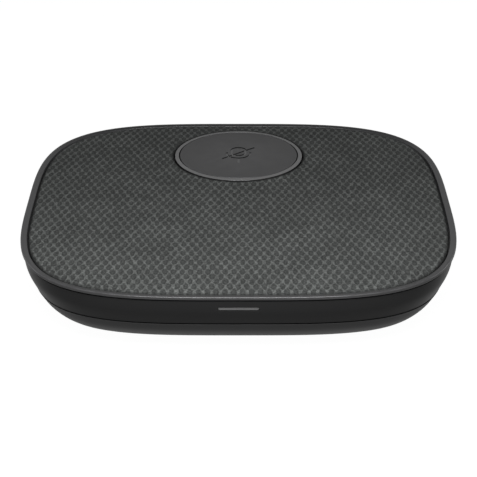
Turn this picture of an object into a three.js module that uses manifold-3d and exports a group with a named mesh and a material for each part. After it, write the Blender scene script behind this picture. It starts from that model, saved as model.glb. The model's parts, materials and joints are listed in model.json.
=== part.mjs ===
// A table-top conference speakerphone: a low, rounded-square puck with a cloth-covered grille, a round mute
// button in a light ring, a status light bar in the front wall and one data port in the rear wall.
// Millimetres. +Z is up, the front faces -Y, and the origin is the centre of the footprint on the table.

import * as THREE from "three";
import { mergeVertices } from "three/addons/utils/BufferGeometryUtils.js";
import Module from "manifold-3d";

const wasm = await Module();
wasm.setup();

// ---------------------------------------------------------------- driving dimensions

// Plan outline: a superellipse at the rim, and parallel curves inside it.
const HALF_WIDTH = 51.0;
const HALF_DEPTH = 50.37;
const CORNER_POWER = 3.57;
const CORNER_FULLNESS = 0.065; // how much less the corners are inset than the straight sides
const PARALLEL_LIMIT = 16; // past this inset the outline shrinks towards the centre instead

// Heights of the outer casing.
const FOOT_Z = 0;
const FLOOR_Z = 1.4;
const SEAM_LOW = 10.45; // upper edge of the lower housing
const SEAM_HIGH = 10.75; // lower edge of the upper housing
const RIM_LOW = 17.75;
const RIM_TOP = 18.55;
const WALL = 1.8;

// Round controls, on the top face behind the centre.
const BUTTON = { x: 0, y: 27.25, radius: 15.05, top: 19.26, travel: 0.6 };
const LIGHT_RING = { inner: 15.3, outer: 16.3, innerTop: 19.2, outerTop: 19.12, foot: 15.0 };
const PANEL_HOLE = 16.75;

// Loudspeaker, firing up in front of the centre.
const SPEAKER = { x: 0, y: -13.4, flange: 20.6, chamber: 23 };

// Main board and what stands on it.
const BOARD = { inset: 5.25, low: 9.8, high: 11.4, speakerHole: 23.7 };
const PORT = { width: 8.94, height: 3.26, depth: 7.35, mouthY: 49.0, z: 13.08, wall: 0.3 };
const MICROPHONE_XY = 33;
const STATUS = { width: 9.0, height: 0.88, z: 15.34, faceY: -49.45 };

// Fixings.
const HOUSING_SCREW_INSET = 20.5; // on the diagonals, under the foot ring
const BOARD_SCREW = { x: 39.5, y: 18 };

// Facets around each shape.
const CASING_SIDES = 48;
const ROUND_SIDES = 32;
const SPEAKER_SIDES = 24;
const SMALL_SIDES = 10;

const TURN = Math.PI * 2;
const DIAGONALS = [45, 135, 225, 315].map(THREE.MathUtils.degToRad);

// ---------------------------------------------------------------- finishes

const finish = (color, roughness, metalness = 0) => new THREE.MeshStandardMaterial({ color, roughness, metalness });
const FINISH = {
  cloth: () => finish(0x3c3e3e, 0.95),
  satin: () => finish(0x2c2c2e, 0.45),
  gloss: () => finish(0x161617, 0.28),
  matte: () => finish(0x242426, 0.6),
  key: () => finish(0x2e2e30, 0.5),
  diffuser: () => finish(0x4a4a4c, 0.4),
  rubber: () => finish(0x141414, 0.85),
  board: () => finish(0x0f3b22, 0.5),
  chip: () => finish(0x121212, 0.5),
  steel: () => finish(0xa8abb0, 0.35, 1),
  magnet: () => finish(0x3a3a3c, 0.55, 0.4),
  cone: () => finish(0x1b1b1c, 0.8),
  copper: () => finish(0xb46a3a, 0.4, 1),
  lead: () => finish(0x6e1616, 0.6),
};

// ---------------------------------------------------------------- outline and shape helpers

// Point of the plan outline at an angle, moved inwards along its normal by inset.
function outlinePoint(angle, inset) {
  const c = Math.cos(angle);
  const s = Math.sin(angle);
  const n = CORNER_POWER;
  const reach = (Math.abs(c / HALF_WIDTH) ** n + Math.abs(s / HALF_DEPTH) ** n) ** (-1 / n);
  const normal = new THREE.Vector2(
    (Math.sign(c) * Math.abs(c / HALF_WIDTH) ** (n - 1)) / HALF_WIDTH,
    (Math.sign(s) * Math.abs(s / HALF_DEPTH) ** (n - 1)) / HALF_DEPTH,
  ).normalize();
  const point = new THREE.Vector2(reach * c, reach * s);
  const corner = (2 * normal.x * normal.y) ** 2;
  point.addScaledVector(normal, -Math.min(inset, PARALLEL_LIMIT) * (1 - CORNER_FULLNESS * corner));
  if (inset > PARALLEL_LIMIT) point.multiplyScalar((HALF_WIDTH - inset) / (HALF_WIDTH - PARALLEL_LIMIT));
  return point;
}

const CENTRE = HALF_WIDTH; // an inset this deep is the vertical axis

// Sweeps a profile of [inset, z] points around the plan outline.
function casing(profile) {
  const points = profile.map(([inset, z]) => new THREE.Vector2(HALF_WIDTH - inset, z));
  const geometry = new THREE.LatheGeometry(points, CASING_SIDES).rotateX(Math.PI / 2);
  const position = geometry.getAttribute("position");
  for (let i = 0; i < position.count; i++) {
    const x = position.getX(i);
    const y = position.getY(i);
    const mapped = outlinePoint(Math.atan2(y, x), HALF_WIDTH - Math.hypot(x, y));
    position.setXY(i, mapped.x, mapped.y);
  }
  return geometry;
}

// Turns a profile of [radius, z] points about a vertical axis through x, y.
function turned(profile, { x = 0, y = 0 } = {}, sides = ROUND_SIDES) {
  const points = profile.map(([radius, z]) => new THREE.Vector2(radius, z));
  return new THREE.LatheGeometry(points, sides).rotateX(Math.PI / 2).translate(x, y, 0);
}

// A closed ring of rectangular section.
const ring = (inner, outer, low, high, centre, sides = ROUND_SIDES) =>
  turned([[inner, low], [outer, low], [outer, high], [inner, high], [inner, low]], centre, sides);

const rod = (radius, low, high, centre, sides = SMALL_SIDES) =>
  turned([[0, low], [radius, low], [radius, high], [0, high]], centre, sides);

const block = (width, depth, low, high, x = 0, y = 0) =>
  new THREE.BoxGeometry(width, depth, high - low).translate(x, y, (low + high) / 2);

// A bar with round ends: width along X, height along Z, from y0 to y1.
function roundEndedBar(width, height, z, y0, y1, sides = 6) {
  const r = height / 2;
  const shape = new THREE.Shape();
  shape.absarc(width / 2 - r, 0, r, -Math.PI / 2, Math.PI / 2);
  shape.absarc(r - width / 2, 0, r, Math.PI / 2, (3 * Math.PI) / 2);
  const geometry = new THREE.ExtrudeGeometry(shape, { depth: y1 - y0, bevelEnabled: false, curveSegments: sides });
  return geometry.rotateX(Math.PI / 2).translate(0, y1, z);
}

// Points of a curve drawn in [inset, z], and the same curve moved inwards by the wall.
function wallCurve(points, steps) {
  const curve = new THREE.SplineCurve(points.map(([inset, z]) => new THREE.Vector2(inset, z)));
  const outer = [];
  const inner = [];
  for (let i = 0; i <= steps; i++) {
    const p = curve.getPoint(i / steps);
    const t = curve.getTangent(i / steps);
    outer.push([p.x, p.y]);
    inner.push([p.x + Math.abs(t.y) * WALL, p.y + Math.abs(t.x) * WALL]);
  }
  return { outer, inner };
}

// ---------------------------------------------------------------- booleans

function solid(geometry) {
  const bare = geometry.clone();
  bare.deleteAttribute("normal");
  bare.deleteAttribute("uv");
  const merged = mergeVertices(bare, 1e-4);
  const index = Array.from(merged.index.array);
  const kept = [];
  for (let i = 0; i < index.length; i += 3) {
    const [a, b, c] = index.slice(i, i + 3);
    if (a !== b && b !== c && a !== c) kept.push(a, b, c);
  }
  return new wasm.Manifold(
    new wasm.Mesh({
      numProp: 3,
      vertProperties: new Float32Array(merged.getAttribute("position").array),
      triVerts: new Uint32Array(kept),
    }),
  );
}

function geometryOf(manifold) {
  const mesh = manifold.getMesh();
  const geometry = new THREE.BufferGeometry();
  geometry.setAttribute("position", new THREE.BufferAttribute(new Float32Array(mesh.vertProperties), 3));
  geometry.setIndex(new THREE.BufferAttribute(new Uint32Array(mesh.triVerts), 1));
  geometry.computeVertexNormals();
  return geometry;
}

const join = (...shapes) => geometryOf(shapes.map(solid).reduce((a, b) => a.add(b)));

const cut = (body, ...tools) => geometryOf(tools.map(solid).reduce((a, b) => a.subtract(b), solid(body)));

// ---------------------------------------------------------------- the assembly

const speakerphone = new THREE.Group();

function add(name, geometry, material) {
  const mesh = new THREE.Mesh(geometry, material);
  mesh.name = name;
  speakerphone.add(mesh);
  return mesh;
}

// Positions shared by the casing, the board and the screws.
const housingScrews = DIAGONALS.map((angle) => outlinePoint(angle, HOUSING_SCREW_INSET));
const boardScrews = [[1, 1], [-1, 1], [-1, -1], [1, -1]].map(([sx, sy]) => ({
  x: sx * BOARD_SCREW.x,
  y: sy * BOARD_SCREW.y,
}));
const microphones = [[1, 1], [-1, 1], [-1, -1], [1, -1]].map(([sx, sy]) => ({
  x: sx * MICROPHONE_XY,
  y: sy * MICROPHONE_XY,
}));

// ---- casing

const HOUSING_SCREW = { head: 2.2, headLow: 3.1, headHigh: 4.5, shank: 1.2, tip: 14.0 };
const LOWER_BOSS = { radius: 3.3, top: 8.4, bore: 1.35, counterbore: 2.6, counterboreTop: 4.6 };
const PANEL_BOSS = { radius: 3.0, low: 8.6, bore: 1.3, boreTop: 14.5 };
const BOARD_POST = { radius: 2.3, low: 4.4, top: 9.7, bore: 1.05, boreLow: 6.3 };
const FOOT = { outerInset: 17.7, innerInset: 23.9, top: 2.0, recessTop: 2.1 };

function lowerHousing() {
  const floorInside = FLOOR_Z + WALL;
  const side = wallCurve([[17.0, FLOOR_Z], [11.58, 2.95], [7.37, 5.25], [4.45, 7.75], [2.62, SEAM_LOW]], 6);
  const lip = { outer: 3.45, inner: 4.3, top: 11.3 };
  const shell = casing([
    [CENTRE, FLOOR_Z],
    [FOOT.innerInset + 0.1, FLOOR_Z],
    [FOOT.innerInset + 0.1, FOOT.recessTop],
    [FOOT.outerInset - 0.1, FOOT.recessTop],
    [FOOT.outerInset - 0.1, FLOOR_Z],
    ...side.outer,
    [lip.outer, SEAM_LOW],
    [lip.outer, lip.top],
    [lip.inner, lip.top],
    ...side.inner.slice(0, -1).reverse(),
    [CENTRE, floorInside],
  ]);
  const bosses = housingScrews.map((at) => rod(LOWER_BOSS.radius, FOOT.recessTop + 0.3, LOWER_BOSS.top, at));
  const posts = boardScrews.map((at) => rod(BOARD_POST.radius, BOARD_POST.low, BOARD_POST.top, at));
  const bores = housingScrews.map((at) => rod(LOWER_BOSS.bore, 0, LOWER_BOSS.top + 1, at));
  const counterbores = housingScrews.map((at) => rod(LOWER_BOSS.counterbore, 0, LOWER_BOSS.counterboreTop, at));
  const postBores = boardScrews.map((at) => rod(BOARD_POST.bore, BOARD_POST.boreLow, BOARD_POST.top + 1, at, 8));
  return cut(join(shell, ...bosses, ...posts), ...bores, ...counterbores, ...postBores);
}

function upperHousing() {
  const side = wallCurve([[2.58, SEAM_HIGH], [0.98, 14.1], [0.45, 17.5]], 3);
  const ledge = { wall: 1.62, inner: 4.2, top: 16.9, low: 15.7 };
  const shell = casing([
    ...side.outer,
    [ledge.wall, 17.5],
    [ledge.wall, ledge.top],
    [ledge.inner, ledge.top],
    [ledge.inner, ledge.low],
    [2.75, 14.6],
    [3.6, 11.85],
    [3.3, 11.7],
    [3.3, SEAM_HIGH],
    side.outer[0],
  ]);
  const clearance = 0.1;
  const lightSlot = roundEndedBar(STATUS.width + clearance, STATUS.height + clearance, STATUS.z, -52, -46);
  const portSlot = roundEndedBar(PORT.width + 0.4, PORT.height + 0.4, PORT.z, 45, 52);
  return cut(shell, lightSlot, portSlot);
}

const topRim = () =>
  casing([
    [1.45, RIM_LOW],
    [0.1, RIM_LOW],
    [0, 17.88],
    [0, 18.17],
    [0.11, 18.44],
    [0.38, RIM_TOP],
    [1.3, 18.46],
    [1.45, 18.3],
    [1.45, RIM_LOW],
  ]);

// Perforated plate that carries the cloth; four bosses under it take the housing screws.
function grillePanel() {
  const low = 16.98;
  const plate = casing([
    [CENTRE, low],
    [2.5, low],
    [2.5, 17.45],
    [2.85, 17.75],
    [3.7, 17.95],
    [8, 18.12],
    [20, 18.27],
    [CENTRE, 18.36],
  ]);
  const bosses = housingScrews.map((at) => rod(PANEL_BOSS.radius, PANEL_BOSS.low, low + 0.4, at));
  const bores = housingScrews.map((at) => rod(PANEL_BOSS.bore, PANEL_BOSS.low - 1, PANEL_BOSS.boreTop, at, 8));
  const opening = rod(PANEL_HOLE, low - 1, 20, BUTTON, ROUND_SIDES);
  const soundHoles = [];
  const pitch = 5;
  const reach = 17;
  for (let row = -4; row <= 4; row++) {
    for (let column = -4; column <= 4; column++) {
      const x = (column + (row % 2 ? 0.5 : 0)) * pitch;
      const y = row * pitch * Math.sin(Math.PI / 3);
      if (Math.hypot(x, y) > reach) continue;
      soundHoles.push(rod(1.5, low - 1, 20, { x: SPEAKER.x + x, y: SPEAKER.y + y }, 6));
    }
  }
  const voiceHoles = microphones.map((at) => rod(0.9, low - 1, 20, at, 6));
  return cut(join(plate, ...bosses), ...bores, opening, ...soundHoles, ...voiceHoles);
}

function fabricCover() {
  const skin = casing([
    [2.4, 17.0],
    [1.8, 17.0],
    [1.8, 18.0],
    [2.2, 18.38],
    [3.4, 18.62],
    [8, 18.8],
    [20, 18.97],
    [CENTRE, 19.04],
    [CENTRE, 18.42],
    [20, 18.33],
    [8, 18.18],
    [3.6, 18.01],
    [2.78, 17.81],
    [2.4, 17.5],
    [2.4, 17.0],
  ]);
  return cut(skin, rod(PANEL_HOLE, 15, 21, BUTTON, ROUND_SIDES));
}

add("lower_housing", lowerHousing(), FINISH.matte());
add("upper_housing", upperHousing(), FINISH.gloss());
add("top_rim", topRim(), FINISH.satin());
add("grille_panel", grillePanel(), FINISH.matte());
add("fabric_cover", fabricCover(), FINISH.cloth());
add(
  "foot_ring",
  casing([
    [FOOT.innerInset, FOOT_Z],
    [FOOT.outerInset, FOOT_Z],
    [FOOT.outerInset, FOOT.top],
    [FOOT.innerInset, FOOT.top],
    [FOOT.innerInset, FOOT_Z],
  ]),
  FINISH.rubber(),
);
housingScrews.forEach((at, i) =>
  add(
    `housing_screw_${i + 1}`,
    turned(
      [
        [0, HOUSING_SCREW.headLow],
        [HOUSING_SCREW.head, HOUSING_SCREW.headLow],
        [HOUSING_SCREW.head, HOUSING_SCREW.headHigh],
        [HOUSING_SCREW.shank, HOUSING_SCREW.headHigh],
        [HOUSING_SCREW.shank, HOUSING_SCREW.tip],
        [0, HOUSING_SCREW.tip],
      ],
      at,
      SMALL_SIDES,
    ),
    FINISH.steel(),
  ),
);

// ---- mute button

const UNDERSIDE = 17.8; // of the button's disc
const HOOK = { radius: 14.3, low: 14.2, barbTop: 14.75 };
const ICON = { stroke: 0.55, depth: 0.28 };

// A struck-through microphone in engraved strokes: capsule outline, cradle, stem and slash.
function muteIcon() {
  const low = BUTTON.top - ICON.depth;
  const height = ICON.depth + 0.5;
  const half = ICON.stroke / 2;
  const raise = (shape) => new THREE.ExtrudeGeometry(shape, { depth: height, bevelEnabled: false, curveSegments: 6 });
  const capsule = (radius) => {
    const shape = new THREE.Shape();
    shape.absarc(0, 2.65, radius, 0, Math.PI);
    shape.absarc(0, 0.85, radius, Math.PI, TURN);
    return shape;
  };
  const outline = capsule(1.75 + half);
  outline.holes.push(capsule(1.75 - half));
  const cradle = new THREE.Shape();
  cradle.absarc(0, 0.55, 3.0 + half, Math.PI, TURN);
  cradle.lineTo(3.0 + half, 1.25);
  cradle.lineTo(3.0 - half, 1.25);
  cradle.absarc(0, 0.55, 3.0 - half, TURN, Math.PI, true);
  cradle.lineTo(half - 3.0, 1.25);
  cradle.lineTo(-half - 3.0, 1.25);
  const stem = block(ICON.stroke, 3.1, 0, height, 0, -4.15);
  const slash = block(11.16, ICON.stroke, 0, height).rotateZ(THREE.MathUtils.degToRad(41.9)).translate(0, 0.8, 0);
  return join(raise(outline), raise(cradle), stem, slash).translate(BUTTON.x, BUTTON.y, low);
}

function muteButton() {
  const disc = turned(
    [
      [0, UNDERSIDE],
      [BUTTON.radius, UNDERSIDE],
      [BUTTON.radius, BUTTON.top - 0.2],
      [BUTTON.radius - 0.2, BUTTON.top],
      [0, BUTTON.top],
    ],
    BUTTON,
    ROUND_SIDES,
  );
  const stub = rod(2.4, 15.65, UNDERSIDE + 0.4, BUTTON);
  const hooks = [30, 150, 270].flatMap((degrees) => {
    const angle = THREE.MathUtils.degToRad(degrees);
    const place = (piece) => piece.rotateZ(angle).translate(BUTTON.x, BUTTON.y, 0);
    return [
      place(block(0.9, 3.2, HOOK.low, UNDERSIDE + 0.4, HOOK.radius)),
      place(block(1.6, 3.2, HOOK.low, HOOK.barbTop, HOOK.radius + 0.8)),
    ];
  });
  return cut(join(disc, stub, ...hooks), muteIcon());
}

add("mute_button", muteButton(), FINISH.key());
add(
  "light_ring",
  turned(
    [
      [LIGHT_RING.inner, LIGHT_RING.foot],
      [LIGHT_RING.outer, LIGHT_RING.foot],
      [LIGHT_RING.outer, 15.9],
      [18.2, 15.9],
      [18.2, 16.7],
      [LIGHT_RING.outer, 16.7],
      [LIGHT_RING.outer, LIGHT_RING.outerTop],
      [LIGHT_RING.inner, LIGHT_RING.innerTop],
      [LIGHT_RING.inner, LIGHT_RING.foot],
    ],
    BUTTON,
  ),
  FINISH.diffuser(),
);
add("button_pad", ring(6, 8, BOARD.high + 0.05, UNDERSIDE - 0.05, BUTTON, 24), FINISH.rubber());
add(
  "mute_switch",
  cut(block(6.2, 6.2, BOARD.high + 0.02, 14.8, BUTTON.x, BUTTON.y), rod(1.85, 12.6, 15.5, BUTTON)),
  FINISH.chip(),
);
add("switch_plunger", rod(1.7, 13.6, 15.6, BUTTON), FINISH.key());
DIAGONALS.forEach((angle, i) => {
  const reach = (LIGHT_RING.inner + LIGHT_RING.outer) / 2;
  const x = BUTTON.x + reach * Math.cos(angle);
  const y = BUTTON.y + reach * Math.sin(angle);
  add(`ring_led_${i + 1}`, block(1.6, 1.6, BOARD.high + 0.02, 12.2, x, y), FINISH.diffuser());
});

// ---- status light

function statusLightBar() {
  const pipe = roundEndedBar(STATUS.width, STATUS.height, STATUS.z, STATUS.faceY, -45.2);
  const flange = block(11, 0.9, 13.4, 15.75, 0, -45.35);
  const leg = block(5, 3.6, 12.5, 13.8, 0, -44.2);
  return join(pipe, flange, leg);
}

add("status_light_bar", statusLightBar(), FINISH.diffuser());
add("status_led", block(3, 1.4, BOARD.high + 0.02, 12.2, 0, -43), FINISH.diffuser());

// ---- main board, port and parts on the board

function mainBoard() {
  const plate = casing([
    [CENTRE, BOARD.low],
    [BOARD.inset, BOARD.low],
    [BOARD.inset, BOARD.high],
    [CENTRE, BOARD.high],
  ]);
  const speakerHole = rod(BOARD.speakerHole, 5, 15, SPEAKER, ROUND_SIDES);
  const bossHoles = housingScrews.map((at) => rod(3.5, 5, 15, at));
  const screwHoles = boardScrews.map((at) => rod(1.2, 5, 15, at, 8));
  return cut(plate, speakerHole, ...bossHoles, ...screwHoles);
}

function portShell() {
  const back = PORT.mouthY - PORT.depth;
  const body = roundEndedBar(PORT.width, PORT.height, PORT.z, back, PORT.mouthY);
  const hollow = roundEndedBar(
    PORT.width - 2 * PORT.wall,
    PORT.height - 2 * PORT.wall,
    PORT.z,
    back + PORT.wall,
    PORT.mouthY + 1,
  );
  return cut(body, hollow);
}

add("main_board", mainBoard(), FINISH.board());
add("port_shell", portShell(), FINISH.steel());
add(
  "port_tongue",
  block(6.7, 5.2, PORT.z - 0.35, PORT.z + 0.35, 0, PORT.mouthY - PORT.depth + PORT.wall + 0.05 + 2.6),
  FINISH.chip(),
);
add("dsp_chip", block(9, 9, BOARD.high + 0.02, 12.5, -34.5, 2), FINISH.chip());
add("codec_chip", block(5, 5, BOARD.high + 0.02, 12.3, -35, -9), FINISH.chip());
add("amplifier_chip", block(5, 5, BOARD.high + 0.02, 12.3, 34, -8), FINISH.chip());
add("power_inductor", block(6, 6, BOARD.high + 0.02, 14.4, 34.5, 3), FINISH.magnet());
boardScrews.forEach((at, i) =>
  add(
    `board_screw_${i + 1}`,
    turned(
      [[0, 6.6], [0.95, 6.6], [0.95, 11.5], [1.9, 11.5], [1.9, 12.7], [0, 12.7]],
      at,
      8,
    ),
    FINISH.steel(),
  ),
);
add("ballast_plate", block(46, 20, 3.4, 6.4, 0, 22.4), FINISH.steel());

// ---- microphones

microphones.forEach((at, i) => {
  add(`microphone_${i + 1}`, block(3.5, 2.7, BOARD.high + 0.02, 12.4, at.x, at.y), FINISH.steel());
  const sleeve = rod(2.9, BOARD.high + 0.1, 16.85, at);
  const pocket = block(3.7, 2.9, BOARD.high - 1, 12.6, at.x, at.y);
  add(`microphone_boot_${i + 1}`, cut(sleeve, pocket, rod(0.75, 10, 18, at, 6)), FINISH.rubber());
});

// ---- loudspeaker

function speakerFrame() {
  const bowl = turned(
    [
      [SPEAKER.flange, 14.6],
      [SPEAKER.flange, 15.4],
      [17.3, 15.4],
      [17.3, 14.7],
      [12.4, 10.3],
      [8.4, 10.3],
      [8.4, 9.8],
      [12.7, 9.8],
      [18.2, 14.6],
      [SPEAKER.flange, 14.6],
    ],
    SPEAKER,
    SPEAKER_SIDES,
  );
  const windows = DIAGONALS.map((angle) =>
    block(7, 8, 10.9, 13.9, 16, 0).rotateZ(angle).translate(SPEAKER.x, SPEAKER.y, 0),
  );
  return cut(bowl, ...windows);
}

add(
  "speaker_chamber",
  turned(
    [
      [0, 3.4],
      [20.4, 3.4],
      [SPEAKER.chamber, 4.9],
      [SPEAKER.chamber, 14.5],
      [18.6, 14.5],
      [18.6, 13.5],
      [SPEAKER.chamber - 1.2, 13.5],
      [SPEAKER.chamber - 1.2, 5.6],
      [20, 4.6],
      [0, 4.6],
    ],
    SPEAKER,
    SPEAKER_SIDES,
  ),
  FINISH.matte(),
);
add("speaker_gasket", ring(19.2, SPEAKER.flange, 15.5, 16.9, SPEAKER, SPEAKER_SIDES), FINISH.rubber());
add("speaker_frame", speakerFrame(), FINISH.steel());
add(
  "speaker_surround",
  turned(
    [
      [16.3, 15.1],
      [16.75, 15.1],
      [16.95, 15.6],
      [17.5, 15.75],
      [18.1, 15.45],
      [19.1, 15.45],
      [19.1, 15.85],
      [18.6, 15.85],
      [18.3, 15.95],
      [17.5, 16.2],
      [16.7, 16.0],
      [16.3, 15.5],
      [16.3, 15.1],
    ],
    SPEAKER,
    SPEAKER_SIDES,
  ),
  FINISH.rubber(),
);
add(
  "speaker_cone",
  turned([[6.8, 12.5], [16.2, 14.7], [16.2, 15.2], [6.8, 13.0], [6.8, 12.5]], SPEAKER, SPEAKER_SIDES),
  FINISH.cone(),
);
add(
  "dust_cap",
  turned([[0, 14.1], [3.4, 13.8], [6.1, 13.1], [6.1, 13.5], [3.4, 14.2], [0, 14.5]], SPEAKER, SPEAKER_SIDES),
  FINISH.cone(),
);
add("speaker_spider", ring(6.8, 13.4, 11.5, 11.8, SPEAKER, SPEAKER_SIDES), FINISH.cloth());
add("voice_coil", ring(6.2, 6.7, 7.4, 13.3, SPEAKER, SPEAKER_SIDES), FINISH.copper());
add("speaker_top_plate", ring(7.2, 12, 8.7, 9.7, SPEAKER, SPEAKER_SIDES), FINISH.steel());
add("speaker_magnet", ring(8, 12.5, 6.3, 8.6, SPEAKER, SPEAKER_SIDES), FINISH.magnet());
add(
  "speaker_yoke",
  turned([[0, 5.0], [12, 5.0], [12, 6.2], [5.6, 6.2], [5.6, 9.7], [0, 9.7]], SPEAKER, SPEAKER_SIDES),
  FINISH.steel(),
);

// Two leads from the loudspeaker's edge to a connector on the board.
const CONNECTOR = { x: -30, y: SPEAKER.y, width: 4, depth: 6 };
add(
  "speaker_connector",
  block(CONNECTOR.width, CONNECTOR.depth, BOARD.high + 0.02, 13.6, CONNECTOR.x, CONNECTOR.y),
  FINISH.diffuser(),
);
["positive", "negative"].forEach((pole, i) => {
  const y = SPEAKER.y + (i === 0 ? 1.4 : -1.4);
  const route = new THREE.CatmullRomCurve3(
    [[-20.9, 15.2], [-23, 15.6], [-25.1, 14.6], [-26.2, 13.2], [-27.7, 12.7]].map(
      ([x, z]) => new THREE.Vector3(x, y, z),
    ),
  );
  const section = new THREE.Shape().absarc(0, 0, 0.5, 0, TURN);
  const lead = new THREE.ExtrudeGeometry(section, { steps: 8, curveSegments: 3, extrudePath: route });
  add(`speaker_lead_${pole}`, lead, FINISH.lead());
});

export default speakerphone;
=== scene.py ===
"""A table-top conference speakerphone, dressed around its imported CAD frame.

Sizes in the classes are millimetres in the frame's axes: +Z up, the front faces -Y and the table
is at height 0. They become metres when a mesh is made.
"""

from __future__ import annotations

import json
import logging
import math
import sys
from dataclasses import dataclass
from enum import Enum

import bmesh
import bpy
import numpy as np
from bpy.types import ID, Material, Node, NodeSocket, NodeTree, Object
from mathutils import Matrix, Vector


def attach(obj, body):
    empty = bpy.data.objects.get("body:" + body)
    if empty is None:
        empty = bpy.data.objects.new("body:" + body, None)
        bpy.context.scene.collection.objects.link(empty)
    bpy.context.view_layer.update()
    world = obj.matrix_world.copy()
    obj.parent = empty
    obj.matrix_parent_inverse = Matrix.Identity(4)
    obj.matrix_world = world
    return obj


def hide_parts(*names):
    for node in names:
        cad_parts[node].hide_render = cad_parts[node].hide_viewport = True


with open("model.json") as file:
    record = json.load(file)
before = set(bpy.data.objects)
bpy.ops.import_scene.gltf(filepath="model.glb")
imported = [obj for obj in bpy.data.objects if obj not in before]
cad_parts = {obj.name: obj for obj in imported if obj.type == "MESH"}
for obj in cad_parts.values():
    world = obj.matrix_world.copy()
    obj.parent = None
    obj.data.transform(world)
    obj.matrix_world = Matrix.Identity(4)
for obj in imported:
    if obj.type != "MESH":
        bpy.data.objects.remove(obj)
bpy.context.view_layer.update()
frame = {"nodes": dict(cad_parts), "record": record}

LOG = logging.getLogger("speakerphone")
MM = 0.001
TURN = 2 * math.pi
CASING_SIDES = 256
ROUND_SIDES = 160
SMALL_SIDES = 40

# an edge that turns by the first many degrees starts to take the lighter edge colour, which is partly
# edge wear and partly a painted highlight, and takes it wholly the second many degrees later
WEAR_AND_HIGHLIGHT_FROM, WEAR_AND_HIGHLIGHT_SPAN = 5, 14

Corner = tuple[float, ...]
Colour = tuple[float, float, float]
Place = tuple[float, float, float]
Faces = list[tuple[int, ...]]


class Body(str, Enum):
    """The CAD bodies that pieces ride on."""

    BASE = "base"
    MUTE_KEY = "mute_key"


# ---------------------------------------------------------------- profiles and outlines


def filleted(corners: list[Corner], loop: bool = True, steps: int = 5) -> list[Corner]:
    """Rounds the corners of a profile.

    Args:
        corners: (across, height) or (across, height, radius) for each corner, in order.
        loop: Whether the profile closes on itself.
        steps: Segments in each rounded corner.

    Returns:
        The profile's points, as (across, height).
    """
    points = [Vector(c[:2]) for c in corners]
    result: list[Corner] = []
    for i, corner in enumerate(corners):
        radius = corner[2] if len(corner) > 2 else 0.0
        if not radius or (not loop and i in (0, len(corners) - 1)):
            result.append(tuple(points[i]))
            continue
        before = points[i - 1] - points[i]
        after = points[(i + 1) % len(points)] - points[i]
        half = before.angle(after) / 2
        reach = min(radius / math.tan(half), 0.48 * before.length, 0.48 * after.length)
        start = points[i] + before.normalized() * reach
        end = points[i] + after.normalized() * reach
        for step in range(steps + 1):
            t = step / steps
            p = (1 - t) ** 2 * start + 2 * t * (1 - t) * points[i] + t**2 * end
            result.append(tuple(p))
    return result


def smooth_curve(knots: list[Corner], steps: int) -> list[Corner]:
    """A smooth line through a few points.

    Args:
        knots: The (across, height) points that it passes through.
        steps: Segments between two knots.

    Returns:
        The line's points, both ends included.
    """
    p = [np.array(k) for k in [knots[0], *knots, knots[-1]]]
    line: list[Corner] = []
    for a, b, c, d in zip(p, p[1:], p[2:], p[3:]):
        for step in range(steps):
            t = step / steps
            square = (2 * a - 5 * b + 4 * c - d) * t**2
            cube = (3 * b - a - 3 * c + d) * t**3
            line.append(tuple(0.5 * (2 * b + (c - a) * t + square + cube)))
    line.append(tuple(p[-1]))
    return line


def inner_line(line: list[Corner], wall: float) -> list[Corner]:
    """The inside of a wall whose outside is the line, walked back the other way.

    Args:
        line: (inset, height) points going up the outside.
        wall: The wall's thickness.

    Returns:
        The points of the inside, from the top down.
    """
    p = np.array(line)
    along = np.gradient(p, axis=0)
    along /= np.linalg.norm(along, axis=1)[:, None]
    inside = p + wall * np.abs(along[:, ::-1])
    return [tuple(q) for q in inside[::-1]]


@dataclass(frozen=True)
class Outline:
    """The casing's plan: a superellipse, with parallel curves inside it."""

    half_width: float = 51.0
    half_depth: float = 50.37
    power: float = 3.57
    parallel_limit: float = 16.0
    fullness: float = 0.065

    @property
    def centre(self) -> float:
        """The inset that reaches the vertical axis."""
        return self.half_width

    def edge(self, angles: np.ndarray) -> tuple[np.ndarray, np.ndarray]:
        """The outer edge.

        Args:
            angles: Polar angles.

        Returns:
            The points on the edge and the outward normals there, each n by 2.
        """
        cos, sin = np.cos(angles), np.sin(angles)
        u, v = np.abs(cos / self.half_width), np.abs(sin / self.half_depth)
        reach = (u**self.power + v**self.power) ** (-1 / self.power)
        normal = np.stack(
            [
                np.sign(cos) * u ** (self.power - 1) / self.half_width,
                np.sign(sin) * v ** (self.power - 1) / self.half_depth,
            ],
            axis=1,
        )
        normal /= np.linalg.norm(normal, axis=1)[:, None]
        return np.stack([reach * cos, reach * sin], axis=1), normal

    def ring(self, angles: np.ndarray, inset: float) -> np.ndarray:
        """The curve at an inset: parallel to the edge, but fuller in the corners.

        Args:
            angles: Polar angles on the edge.
            inset: How far in; past parallel_limit the curve shrinks to the middle instead.

        Returns:
            The points, n by 2.
        """
        points, normals = self.edge(angles)
        corner = (2 * normals[:, :1] * normals[:, 1:]) ** 2
        points = points - normals * min(inset, self.parallel_limit) * (1 - self.fullness * corner)
        if inset > self.parallel_limit:
            points = points * (self.centre - inset) / (self.centre - self.parallel_limit)
        return points


OUTLINE = Outline()


# ---------------------------------------------------------------- making meshes


def rings_to_mesh(rings: list[np.ndarray], loop: bool) -> tuple[np.ndarray, Faces]:
    """Joins rings of points that have the same number of points.

    Args:
        rings: n by 3 arrays, in millimetres.
        loop: Whether the last ring joins the first.

    Returns:
        All the points, and the faces between neighbouring rings.
    """
    n = len(rings[0])
    faces = []
    pairs = len(rings) if loop else len(rings) - 1
    for k in range(pairs):
        a, b = k * n, ((k + 1) % len(rings)) * n
        faces += [(a + i, a + (i + 1) % n, b + (i + 1) % n, b + i) for i in range(n)]
    return np.concatenate(rings), faces


def linked(name: str, data: ID) -> Object:
    """A new object in the scene."""
    made = bpy.data.objects.new(name, data)
    bpy.context.scene.collection.objects.link(made)
    return made


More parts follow.
